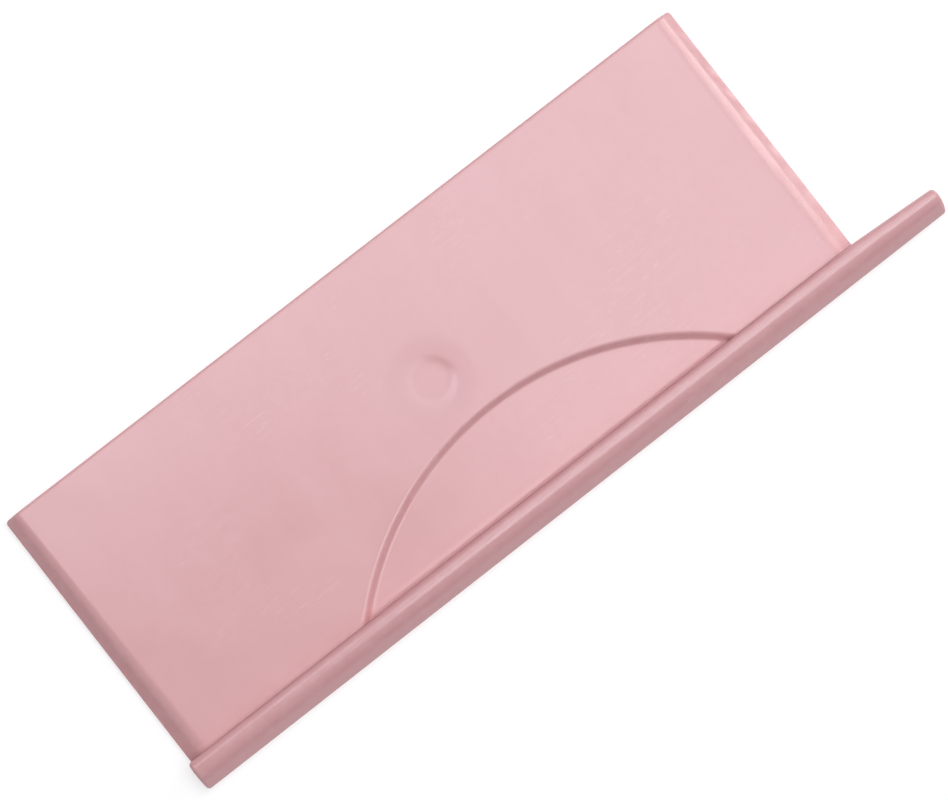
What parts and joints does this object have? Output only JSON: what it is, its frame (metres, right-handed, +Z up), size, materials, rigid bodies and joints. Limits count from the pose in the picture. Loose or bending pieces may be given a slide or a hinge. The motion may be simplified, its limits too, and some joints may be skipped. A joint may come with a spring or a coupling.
{
  "type": "scoring board",
  "caption": "Small hand-held scoring board: a flat moulded plate with bevelled ends, a half-moon finger recess and a fence rail that overhangs one end.",
  "frame": {"origin": "on the table, under the middle of the whole board's box", "axes": "+X runs along the fence rail towards its overhanging end, +Y from the rail to the plate's far edge, +Z up out of the working face"},
  "size_m": [0.1564, 0.0554, 0.0062],
  "materials": {
    "plate_plastic": "glossy pale pink moulded plastic",
    "rail_plastic": "glossy pale pink moulded plastic",
    "foot_rubber": "matt off-white rubber"
  },
  "bodies": {
    "root": {"board_plate": "plate_plastic", "fence_rail": "rail_plastic", "foot_front_left": "foot_rubber", "foot_front_right": "foot_rubber", "foot_back_left": "foot_rubber", "foot_back_right": "foot_rubber"}
  },
  "joints": []
}
